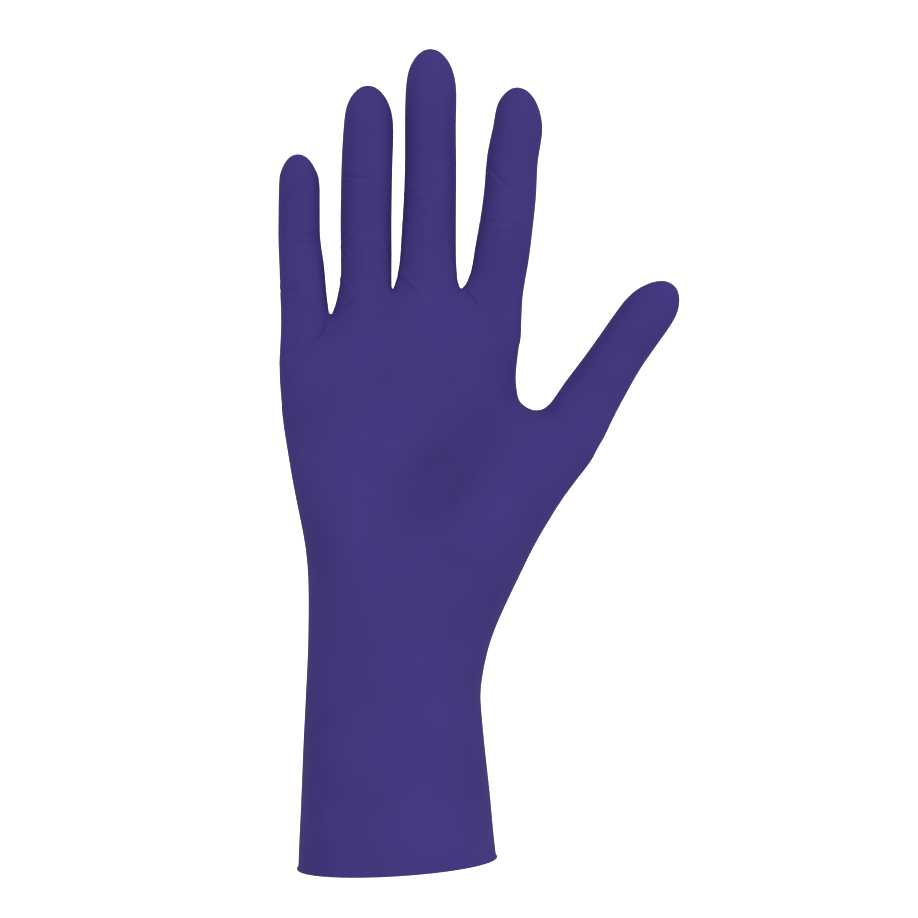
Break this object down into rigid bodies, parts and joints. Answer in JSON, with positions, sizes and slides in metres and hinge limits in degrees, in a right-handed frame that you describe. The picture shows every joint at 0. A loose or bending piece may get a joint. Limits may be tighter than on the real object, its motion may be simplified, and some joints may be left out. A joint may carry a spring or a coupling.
{
  "type": "nitrile exam glove with long cuff",
  "caption": "Thin stretch-fit glove of one dipped film with a long open cuff, rolled edge, thumb and spread fingers, shown in its worn shape",
  "frame": {"origin": "middle of the cuff's mouth, in the plane of its rolled edge, where the forearm goes in", "axes": "+Z from the cuff to the fingertips, -Y is the palm side, +X is the thumb side"},
  "size_m": [0.1463, 0.0572, 0.3003],
  "materials": {
    "nitrile_film": "smooth satin indigo nitrile film with fine creases at the fingers' roots and joints"
  },
  "bodies": {
    "root": {"glove": "nitrile_film"}
  },
  "joints": []
}
